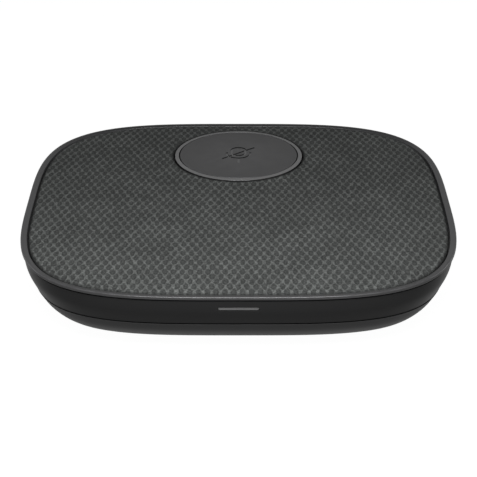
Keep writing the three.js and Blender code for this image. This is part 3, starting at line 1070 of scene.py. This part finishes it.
    def screws(self) -> None:
        """Two sets of four screws, placed by one tree."""
        tree = new_group(
            "screw_set",
            "GeometryNodeTree",
            {
                "Places": ("NodeSocketGeometry", None),
                "Screw": ("NodeSocketObject", None),
                "Turn": ("NodeSocketFloat", 0.6),
                "Seed": ("NodeSocketInt", 3),
                "Finish": ("NodeSocketMaterial", None),
            },
            {"Screws": "NodeSocketGeometry"},
        )
        w = Wiring(tree)
        given = w.node("NodeGroupInput")
        source = w.node("GeometryNodeObjectInfo", None, Object=given.outputs["Screw"])
        turn = w.node("FunctionNodeRandomValue", {"data_type": "FLOAT"}, Seed=given.outputs["Seed"])
        w.tree.links.new(given.outputs["Turn"], turn.inputs[3])
        spin = w.node("ShaderNodeCombineXYZ", None, Z=turn.outputs[1]).outputs[0]
        placed = w.node(
            "GeometryNodeInstanceOnPoints",
            None,
            Points=given.outputs["Places"],
            Instance=source.outputs["Geometry"],
            Rotation=spin,
        )
        w.end_geometry("Screws", placed.outputs[0], given.outputs["Finish"])
        finish = self.palette["screw_steel"]
        sets = {
            "housing_screw": (self.screw_places(), 3.1, (2.15, 1.35, 1.18, 9.5, 0.9), 1),
            "board_screw": (self.board_screw_places(), 12.7, (1.85, 1.15, 0.92, 4.9, 0.6), -1),
        }
        for node, (places, z, sizes, way) in sets.items():
            source_screw = self.screw("screw_source", finish, sizes)
            if way < 0:
                for vert in source_screw.data.vertices:
                    vert.co.y, vert.co.z = -vert.co.y, -vert.co.z
            host = spots(f"{node}s", [(x, y, z) for x, y in places])
            run_tree(host, tree, {"Screw": source_screw, "Turn": 1.4, "Seed": 3, "Finish": finish})
            bpy.data.objects.remove(source_screw)
            dress(host, finish, Body.BASE, [f"{node}_{i}" for i in range(1, 5)])

    def build(self) -> None:
        """Makes every piece of the casing."""
        self.lower_housing()
        self.upper_housing()
        self.top_rim()
        self.foot_ring()
        self.screws()


# ---------------------------------------------------------------- cloth


@dataclass
class ClothTop:
    """The woven cover, stretched over the grille panel and tucked down behind the rim."""

    palette: Palette
    edge_inset: float = 1.8
    tuck_inset: float = 2.4
    tuck_low: float = 17.0
    hole_centre: Corner = (0.0, 27.25)
    hole_radius: float = 16.75
    ring_level: float = 19.0
    thickness: float = 0.6
    cells: int = 284
    under_cells: int = 60
    relief: float = 0.26
    hole_roll: float = 0.14  # how far the cloth rolls down beside the light ring
    hole_ramp: float = 4.4  # how far from the hole it starts to rise to the ring
    edge_ramp: float = 2.6  # the same rise, measured from the rim
    top_line: tuple[Corner, ...] = (
        (1.8, 18.0),
        (1.9, 18.2),
        (2.2, 18.4),
        (2.8, 18.56),
        (3.6, 18.66),
        (8, 18.82),
        (20, 18.97),
        (51, 19.04),
    )
    under_line: tuple[Corner, ...] = (
        (2.4, 17.5),
        (2.78, 17.83),
        (3.6, 18.02),
        (8, 18.2),
        (20, 18.35),
        (51, 18.43),
    )

    def layer(
        self, count: int, line: tuple[Corner, ...], level: float, dip: float
    ) -> tuple[np.ndarray, Faces, np.ndarray]:
        """One face of the cloth as an even grid that fits the outline, with the button's hole open.

        Args:
            count: Squares along each side.
            line: (inset, height) points from the edge to the middle.
            level: The height it comes up to beside the light ring.
            dip: How far the hole's edge is rolled down.

        Returns:
            The points, the faces and how free each point is of the edges, from 0 to 1.
        """
        steps = np.linspace(-1, 1, count + 1)
        u, v = (g.ravel() for g in np.meshgrid(steps, steps, indexing="ij"))
        out = np.maximum(np.abs(u), np.abs(v))
        angles = np.arctan2(v * OUTLINE.half_depth, u * OUTLINE.half_width)
        edge, normal = OUTLINE.edge(angles)
        edge = edge - normal * line[0][0]
        inset = line[0][0] + (1 - out) * np.sum(edge * normal, axis=1)
        plan = edge * out[:, None]
        fine = np.array(smooth_curve(list(line), 10))
        height = np.interp(inset, fine[:, 0], fine[:, 1])
        away = plan - np.array(self.hole_centre)
        distance = np.linalg.norm(away, axis=1)
        from_hole = distance - self.hole_radius
        lift = np.clip(1 - from_hole / self.hole_ramp, 0, 1)
        lift = lift * np.clip((inset - line[0][0]) / self.edge_ramp, 0, 1)
        height = height + (level - height) * lift * lift * (3 - 2 * lift)
        near = np.clip(from_hole / 0.6, 0, 1)
        height = height - dip * (1 - near) ** 2
        free = np.clip((inset - 2.1) / 1.2, 0, 1) * np.clip((from_hole - 0.25) / 0.9, 0, 1)
        index = np.arange(len(plan)).reshape(count + 1, count + 1)
        quads = np.stack([index[:-1, :-1], index[1:, :-1], index[1:, 1:], index[:-1, 1:]], axis=-1)
        quads = quads.reshape(-1, 4)
        kept = quads[(distance[quads] > self.hole_radius).all(axis=1)]
        used, faces = np.unique(kept, return_inverse=True)
        faces = faces.reshape(-1, 4)
        corner_uses = np.bincount(faces.ravel(), minlength=len(used))
        rim = (corner_uses < 4) & (out[used] < 1)
        points = np.column_stack([plan[used], height[used]])
        scale = self.hole_radius / distance[used][rim]
        points[rim, :2] = np.array(self.hole_centre) + away[used][rim] * scale[:, None]
        return points, [tuple(f) for f in faces.tolist()], free[used]

    @staticmethod
    def loops(faces: Faces) -> list[list[int]]:
        """The open edges of a sheet as loops of point numbers, the longest first."""
        f = np.array(faces)
        edges = np.concatenate([f[:, [i, (i + 1) % 4]] for i in range(4)])
        key = np.sort(edges, axis=1)
        _, first, uses = np.unique(key, axis=0, return_index=True, return_counts=True)
        following = {int(a): int(b) for a, b in edges[first[uses == 1]]}
        found = []
        while following:
            start, at = next(iter(following.items()))
            del following[start]
            loop = [start]
            while at != start:
                loop.append(at)
                at = following.pop(at)
            found.append(loop)
        return sorted(found, key=len, reverse=True)

    @staticmethod
    def bridge(points: np.ndarray, a: list[int], b: list[int], centre: Corner) -> Faces:
        """Triangles between two loops that go round the same centre.

        Args:
            points: All the points.
            a: One loop.
            b: The other loop.
            centre: What both go round.

        Returns:
            The triangles.
        """

        def ordered(loop: list[int]) -> tuple[list[int], np.ndarray]:
            """The loop sorted by angle, and the angles."""
            p = points[loop, :2] - np.array(centre)
            angle = np.arctan2(p[:, 1], p[:, 0])
            order = np.argsort(angle)
            return [loop[i] for i in order], angle[order]

        (a, angle_a), (b, angle_b) = ordered(a), ordered(b)
        i = j = 0
        faces = []
        while i < len(a) or j < len(b):
            next_a = angle_a[i + 1] if i + 1 < len(a) else angle_a[0] + TURN
            next_b = angle_b[j + 1] if j + 1 < len(b) else angle_b[0] + TURN
            go_a = j >= len(b) or (i < len(a) and next_a <= next_b)
            if go_a:
                faces.append((a[i % len(a)], a[(i + 1) % len(a)], b[j % len(b)]))
                i += 1
            else:
                faces.append((b[(j + 1) % len(b)], b[j % len(b)], a[i % len(a)]))
                j += 1
        return faces

    def mark_tuck_shade(self, made: Object) -> None:
        """Marks how far each point is tucked in behind the rim or the light ring, from 0 to 1, where the
        cloth's material paints shade.
        """
        place = np.zeros(len(made.data.vertices) * 3, np.float32)
        made.data.vertices.foreach_get("co", place)
        place = place.reshape(-1, 3)[:, :2] / MM
        edge, normal = OUTLINE.edge(np.arctan2(place[:, 1], place[:, 0]))
        inset = np.sum((edge - place) * normal, axis=1)
        from_hole = np.linalg.norm(place - np.array(self.hole_centre), axis=1) - self.hole_radius
        tucked = np.maximum(1 - (inset - self.edge_inset) / 0.7, 1.2 - from_hole / 0.6)
        mark = made.data.attributes.new("tucked", "FLOAT", "POINT")
        mark.data.foreach_set("value", np.clip(tucked, 0, 1).astype(np.float32))

    def build(self) -> None:
        """Makes the cover as one closed sheet and weaves it."""
        top, faces, free = self.layer(self.cells, self.top_line, self.ring_level, self.hole_roll)
        under_level = self.ring_level - self.thickness
        under, under_faces, _ = self.layer(self.under_cells, self.under_line, under_level, 0.0)
        outer, hole = self.loops(faces)
        under_outer, under_hole = self.loops(under_faces)
        points = [top]
        last, at, n = outer, len(top), len(outer)
        _, normal = OUTLINE.edge(np.arctan2(top[outer, 1], top[outer, 0]))
        tuck = self.tuck_inset - self.edge_inset
        for inwards, z in ((0.0, self.tuck_low + 0.1), (0.1, self.tuck_low), (tuck, self.tuck_low)):
            ring = top[outer].copy()
            ring[:, :2] -= normal * inwards
            ring[:, 2] = z
            points.append(ring)
            new = list(range(at, at + n))
            faces += [(last[i], last[(i + 1) % n], new[(i + 1) % n], new[i]) for i in range(n)]
            last, at = new, at + n
        points.append(under)
        whole = np.concatenate(points)
        faces += [tuple(at + i for i in f) for f in under_faces]
        faces += self.bridge(whole, last, [at + i for i in under_outer], (0, 0))
        faces += self.bridge(whole, hole, [at + i for i in under_hole], self.hole_centre)
        made = piece("fabric_cover", whole, faces, merge=1e-5)
        weight = made.data.attributes.new("free", "FLOAT", "POINT")
        values = np.zeros(len(made.data.vertices), np.float32)
        values[: len(free)] = free
        weight.data.foreach_set("value", values)
        weave = Weave()
        finish = self.palette["acoustic_cloth"]
        sizes = {label: value for label, (_, value) in weave.sockets().items()}
        sizes |= {"Depth": self.relief * MM, "Finish": finish}
        run_tree(made, weave.relief_tree(), sizes)
        made.data.attributes.remove(made.data.attributes["free"])
        self.mark_tuck_shade(made)
        dress(made, finish, Body.BASE, ["fabric_cover"], crease=80)


# ---------------------------------------------------------------- button


@dataclass
class MuteControl:
    """The mute button with its icon, and the ring round it."""

    palette: Palette
    centre: Corner = (0.0, 27.25)
    radius: float = 15.05
    top: float = 19.26
    underside: float = 17.8
    hook_radius: float = 14.3
    hook_width: float = 3.2
    bite: float = 0.4  # how far the stub and the hooks reach up into the disc
    engraving: float = 0.28
    stroke_width: float = 0.55
    capsule: Corner = (1.75, 28.1, 29.9)
    cradle: Corner = (3.0, 27.8, 28.5)
    stem: tuple[Corner, Corner] = ((0.0, 24.6), (0.0, 21.8))
    slash: tuple[Corner, Corner] = ((-4.15, 24.35), (4.1, 31.72))

    def plate(self, name: str, plan: np.ndarray, depth: float | None = None) -> Object:
        """A cutter that stands through the button's top.

        Args:
            name: Its name.
            plan: Its outline, n by 2, in the frame.
            depth: How deep it goes; the engraving's depth if not given.

        Returns:
            The cutter.
        """
        levels = (self.top - (depth or self.engraving), self.top + 1)
        return capped(name, [np.column_stack([plan, np.full(len(plan), z)]) for z in levels])

    def stroke(self, line: np.ndarray, closed: bool = False) -> np.ndarray:
        """The outline of a line drawn with the engraving's width.

        Args:
            line: The line's points, n by 2.
            closed: Whether the line joins up; then only its outer edge is returned.

        Returns:
            The outline.
        """
        ends = (line[-1], line[0]) if closed else (2 * line[0] - line[1], 2 * line[-1] - line[-2])
        wide = np.concatenate([[ends[0]], line, [ends[1]]])
        along = wide[2:] - wide[:-2]
        along /= np.linalg.norm(along, axis=1)[:, None]
        across = np.stack([along[:, 1], -along[:, 0]], axis=1) * self.stroke_width / 2
        return np.concatenate([line + across, (line - across)[::-1]])

    def icon(self) -> list[Object]:
        """The struck-through microphone as cutters: capsule outline, cradle, stem and slash."""
        half = np.linspace(0, math.pi, 19)
        arc = np.stack([np.cos(half), np.sin(half)], axis=1)
        wide, low, high = self.capsule
        capsule = np.concatenate([arc * wide + (0, high), -arc * wide + (0, low)])
        cradle_wide, cradle_middle, cradle_top = self.cradle
        bowl = -arc * cradle_wide + (0, cradle_middle)
        cradle = np.concatenate([[(-cradle_wide, cradle_top)], bowl, [(cradle_wide, cradle_top)]])
        share = self.stroke_width / 2 / wide
        shift = (0, (low + high) / 2 * share)
        hole = capsule * (1 - share) + shift
        ring = self.plate("capsule", capsule * (1 + share) - shift)
        carve(ring, [self.plate("capsule_hole", hole, self.engraving + 0.5)])
        lines = {"cradle": cradle, "stem": np.array(self.stem), "slash": np.array(self.slash)}
        return [ring, *(self.plate(name, self.stroke(line)) for name, line in lines.items())]

    def hook(self, degrees: float) -> Object:
        """One snap hook under the disc, at an angle round its middle."""
        root = self.underside + self.bite
        inner, outer = self.hook_radius - 0.45, self.hook_radius + 0.45
        low, barb, tip = 14.2, 14.75, self.hook_radius + 1.6
        section = [(inner, low), (tip - 0.5, low), (tip, low + 0.25), (tip, barb), (outer, barb)]
        section = np.array([*section, (outer, root), (inner, root)])
        angle = math.radians(degrees)
        cos, sin = math.cos(angle), math.sin(angle)
        turn = np.array([[cos, sin], [-sin, cos]])
        rings = []
        for side in (-self.hook_width / 2, self.hook_width / 2):
            plan = np.stack([section[:, 0], np.full(len(section), side)], axis=1)
            rings.append(np.column_stack([plan @ turn + np.array(self.centre), section[:, 1]]))
        return capped("hook", rings)

    def button(self) -> None:
        """The disc, with its plunger stub and three snap hooks underneath."""
        low, high, radius = self.underside, self.top, self.radius
        profile = filleted([(0, low), (radius, low, 0.1), (radius, high, 0.22), (0, high)])
        made = turned("mute_button", profile, self.centre)
        stub = rod("stub", 2.4, 15.65, low + self.bite, self.centre)
        carve(made, [stub, *(self.hook(degrees) for degrees in (30, 150, 270))], "UNION")
        carve(made, self.icon())
        self.mark_engraving(made)
        dress(made, self.palette["button_plastic"], Body.MUTE_KEY, ["mute_button"])

    def mark_engraving(self, made: Object) -> None:
        """Marks the floor and the walls of the engraved icon; the material paints shade on the walls."""
        mesh = made.data
        centres = np.zeros(len(mesh.polygons) * 3, np.float32)
        mesh.polygons.foreach_get("center", centres)
        centres = centres.reshape(-1, 3) / MM
        near = np.linalg.norm(centres[:, :2] - np.array(self.centre), axis=1) < self.radius - 2
        below = self.top - centres[:, 2]
        deep = near & (below < self.engraving + 0.01) & (below > 0.01)
        upright = np.array([abs(p.normal.z) < 0.5 for p in mesh.polygons])
        for label, chosen in (("etched", deep & ~upright), ("painted_shade_wall", deep & upright)):
            mark = mesh.attributes.new(label, "FLOAT", "FACE")
            mark.data.foreach_set("value", chosen.astype(np.float32))

    def light_ring(self) -> None:
        """The ring: its top slopes gently outwards, and a flange holds it under the panel."""
        inner, outer, flange = 15.3, 16.3, 18.2
        face = [(outer, 19.12, 0.14), (inner, 19.2, 0.1)]
        stem = [(inner, 15.0), (outer, 15.0), (outer, 15.9)]
        profile = filleted([*stem, (flange, 15.9), (flange, 16.7), (outer, 16.7), *face])
        made = turned("light_ring", profile, self.centre)
        # the ring's upright sides are marked for painted shade, which stands for the shade in the gaps
        # beside the ring
        painted_shade_faces = [float(abs(face.normal.z) < 0.3) for face in made.data.polygons]
        mark = made.data.attributes.new("painted_shade_wall", "FLOAT", "FACE")
        mark.data.foreach_set("value", painted_shade_faces)
        dress(made, self.palette["diffuser"], Body.BASE, ["light_ring"])

    def build(self) -> None:
        """Makes the button and the ring."""
        self.button()
        self.light_ring()


# ---------------------------------------------------------------- light bar and port


@dataclass
class StatusLight:
    """The light bar in the front wall, with the flange and leg that lead light to it."""

    palette: Palette
    width: float = 9.0
    height: float = 0.88
    z: float = 15.34
    face: float = -49.45
    inner_end: float = -45.2

    def build(self) -> None:
        """Makes the bar with a softly domed face."""
        crown = ((0.0, 0.24), (0.05, 0.08), (0.14, 0.0))
        stations = [(self.face + y, self.width - less, self.height - less) for y, less in crown]
        stations.append((self.inner_end, self.width, self.height))
        made = bar_along_y("status_light_bar", stations, self.z)
        flange = box_piece("flange", (-5.5, -45.8, 13.4), (5.5, -44.9, 15.75))
        leg = box_piece("leg", (-2.5, -46.0, 12.5), (2.5, -42.4, 13.8))
        carve(made, [flange, leg], "UNION")
        dress(made, self.palette["bar_diffuser"], Body.BASE, ["status_light_bar"])


@dataclass
class DataPort:
    """The reversible data port in the rear wall."""

    palette: Palette
    width: float = 8.94
    height: float = 3.26
    depth: float = 7.35
    mouth: float = 49.0
    z: float = 13.08
    wall: float = 0.3

    def shell(self) -> None:
        """The drawn steel shell, rolled at its mouth."""
        back = self.mouth - self.depth
        w, h, t = self.width, self.height, self.wall
        closed_end = [(back, w - 0.5, h - 0.5), (back + 0.25, w, h)]
        rolled_end = [(self.mouth - 0.12, w, h), (self.mouth, w - 0.2, h - 0.2)]
        made = bar_along_y("port_shell", closed_end + rolled_end, self.z)
        w, h = w - 2 * t, h - 2 * t
        hollow = [(back + t, w, h), (self.mouth - 0.14, w, h), (self.mouth + 0.3, w + 0.7, h + 0.7)]
        carve(made, [bar_along_y("hollow", hollow, self.z)])
        dress(made, self.palette["port_steel"], Body.BASE, ["port_shell"])

    def tongue(self) -> None:
        """The contact tongue, with its front edge thinned."""
        back = self.mouth - self.depth + self.wall + 0.05
        half_width, length, half_thick = 3.35, 5.2, 0.35
        low = (-half_width, back, self.z - half_thick)
        high = (half_width, back + length, self.z + half_thick)
        made = box_piece("port_tongue", low, high, 0.14)
        dress(made, self.palette["chip_black"], Body.BASE, ["port_tongue"])

    def contacts(self) -> None:
        """Gilt contacts along both faces of the tongue, laid out by a tree."""
        tree = new_group(
            "contact_row",
            "GeometryNodeTree",
            {
                "Middles": ("NodeSocketGeometry", None),
                "Count": ("NodeSocketInt", 12),
                "Pitch": ("NodeSocketFloat", 0.5 * MM),
                "Contact": ("NodeSocketVector", (0.26 * MM, 3.6 * MM, 0.05 * MM)),
                "Finish": ("NodeSocketMaterial", None),
            },
            {"Contacts": "NodeSocketGeometry"},
        )
        w = Wiring(tree)
        given = w.node("NodeGroupInput")
        gaps = w.math("SUBTRACT", given.outputs["Count"], 1.0)
        start = w.math("MULTIPLY", w.math("MULTIPLY", gaps, given.outputs["Pitch"]), -0.5)
        first = w.node("ShaderNodeCombineXYZ", None, X=start).outputs[0]
        step = w.node("ShaderNodeCombineXYZ", None, X=given.outputs["Pitch"]).outputs[0]
        line = w.node(
            "GeometryNodeMeshLine",
            {"mode": "OFFSET"},
            Count=given.outputs["Count"],
            Start_Location=first,
            Offset=step,
        ).outputs[0]
        shape = w.node("GeometryNodeMeshCube", None, Size=given.outputs["Contact"]).outputs[0]
        for points in (line, given.outputs["Middles"]):
            copies = w.node("GeometryNodeInstanceOnPoints", None, Points=points, Instance=shape)
            shape = copies.outputs[0]
        w.end_geometry("Contacts", shape, given.outputs["Finish"])
        middle, level = self.mouth - self.depth + self.wall + 3.0, 0.365
        host = spots("port_contacts", [(0, middle, self.z + side * level) for side in (-1, 1)])
        finish = self.palette["contact_gold"]
        run_tree(host, tree, {"Count": 12, "Pitch": 0.5 * MM, "Finish": finish})
        dress(host, finish, Body.BASE, [])

    def build(self) -> None:
        """Makes the port's pieces."""
        self.shell()
        self.tongue()
        self.contacts()


# ---------------------------------------------------------------- inner parts


@dataclass
class InnerParts:
    """CAD nodes whose shape is already right: each keeps its mesh and gets its finish."""

    palette: Palette

    def build(self) -> None:
        """Dresses every CAD node that is still shown."""
        slots = {s["node"]: s["material_slot"] for s in frame["record"]["subparts"]}
        for name, node in frame["nodes"].items():
            if node.hide_render:
                continue
            node.data.materials.clear()
            node.data.materials.append(self.palette[slots[name]])
            LOG.info("%s keeps its CAD shape, in %s", name, slots[name])


# ---------------------------------------------------------------- studio


@dataclass(frozen=True)
class Lamp:
    """A soft rectangular light: where it hangs and its size in metres, its power in watts."""

    name: str
    at: Place
    size: tuple[float, float]
    power: float

    def hang(self) -> None:
        """Puts the light up, facing the object."""
        data = bpy.data.lights.new(self.name, "AREA")
        data.shape = "RECTANGLE"
        data.size, data.size_y = self.size
        data.energy = self.power
        made = linked(self.name, data)
        made.location = self.at
        aim = Vector((0, 0, 0.01)) - Vector(self.at)
        made.rotation_euler = aim.to_track_quat("-Z", "Y").to_euler()


LAMPS = (
    Lamp("softbox", (0.0, -0.15, 0.14), (0.12, 0.07), 0.5),
    Lamp("side_panel", (-0.4, 0.16, 0.1), (0.3, 0.16), 0.25),
    Lamp("side_panel", (0.4, 0.16, 0.1), (0.3, 0.16), 0.25),
    Lamp("back_panel", (0.0, 0.6, 0.28), (0.8, 0.3), 0.35),
)


@dataclass
class Studio:
    """The floor, the lights and the camera, in metres."""

    lens: float = 124.43
    floor_tone: float = 0.08
    floor_glow: float = 0.98
    floor_shine: float = 0.34
    surround: float = 0.015
    backdrop: float = 1.2
    floor_reach: float = 3.0
    camera_at: Place = (0.0, -0.36401, 0.1835)
    look_at: Place = (0.0, -0.021634, 0.018767)

    def camera(self) -> None:
        """The camera, straight in front and a little above."""
        data = bpy.data.cameras.new("camera")
        data.lens = self.lens
        data.sensor_width = 36
        data.clip_start = 0.01
        made = linked("camera", data)
        made.location = self.camera_at
        aim = Vector(self.look_at) - Vector(self.camera_at)
        made.rotation_euler = aim.to_track_quat("-Z", "Y").to_euler()
        bpy.context.scene.camera = made

    def floor(self) -> None:
        """A wide, pale, plain floor."""
        mesh = bpy.data.meshes.new("floor")
        r = self.floor_reach
        mesh.from_pydata([(-r, -r, 0), (r, -r, 0), (r, r, 0), (-r, r, 0)], [], [(0, 1, 2, 3)])
        made = linked("floor", mesh)
        material, w, shader, place = blank_material("pale_floor")
        tone = w.ramp(w.noise(place, 3.0, 2.0), 0.2, 0.8, 0.985, 1.0)
        w.feed(shader, Base_Color=tinted(w, (self.floor_tone,) * 3, tone))
        shader.inputs["Roughness"].default_value = 0.8
        shader.inputs["Specular IOR Level"].default_value = 0.1
        path = w.node("ShaderNodeLightPath")
        shiny = w.math("MULTIPLY", path.outputs["Is Glossy Ray"], self.floor_shine)
        glow = w.math("MULTIPLY_ADD", path.outputs["Is Camera Ray"], self.floor_glow, shiny)
        w.feed(shader, Emission_Color=(1, 1, 1, 1), Emission_Strength=glow)
        mesh.materials.append(material)

    def world(self) -> None:
        """A plain white surround, dimmer as a light than as a backdrop."""
        world = bpy.data.worlds.new("studio")
        bpy.context.scene.world = world
        world.use_nodes = True
        w = Wiring(world.node_tree)
        surround = world.node_tree.nodes["Background"]
        path = w.node("ShaderNodeLightPath")
        extra = self.backdrop - self.surround
        strength = w.math("MULTIPLY_ADD", path.outputs["Is Camera Ray"], extra, self.surround)
        w.feed(surround, Color=(1, 1, 1, 1), Strength=strength)

    def build(self) -> None:
        """Sets up the studio."""
        self.camera()
        self.floor()
        self.world()
        for lamp in LAMPS:
            lamp.hang()
        bpy.context.scene.view_settings.view_transform = "Standard"


def main() -> None:
    """Builds the whole speakerphone and its studio."""
    logging.basicConfig(level=logging.INFO, format="%(name)s: %(message)s", stream=sys.stdout)
    Studio().build()
    palette = Palette()
    Casing(palette).build()
    ClothTop(palette).build()
    MuteControl(palette).build()
    StatusLight(palette).build()
    DataPort(palette).build()
    InnerParts(palette).build()


if __name__ == "__main__":
    main()
